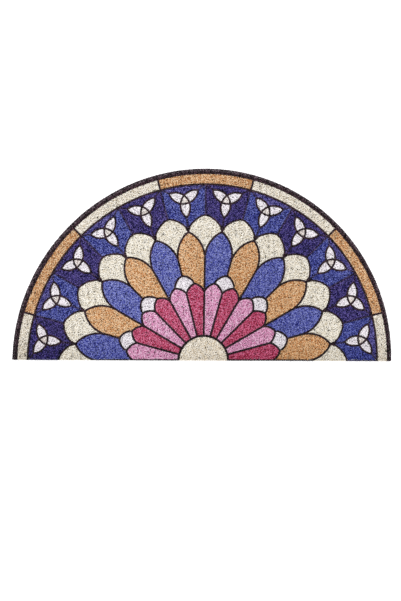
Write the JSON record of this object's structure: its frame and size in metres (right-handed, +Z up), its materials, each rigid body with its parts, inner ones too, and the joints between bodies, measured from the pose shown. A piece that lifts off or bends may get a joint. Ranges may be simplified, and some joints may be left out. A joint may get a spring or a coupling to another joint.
{
  "type": "half-round doormat",
  "caption": "Half-round entrance mat of looped vinyl, printed with a rose-window pattern; lies flat with its straight edge along a door sill.",
  "frame": {"origin": "on the floor under the middle of the mat's box", "axes": "+X along the straight edge to the right, +Y from the straight edge to the arc, +Z up out of the printed face"},
  "size_m": [0.8, 0.4048, 0.012],
  "materials": {
    "looped_vinyl": "soft satin, printed from above"
  },
  "bodies": {
    "root": {"mat": "looped_vinyl"}
  },
  "joints": []
}
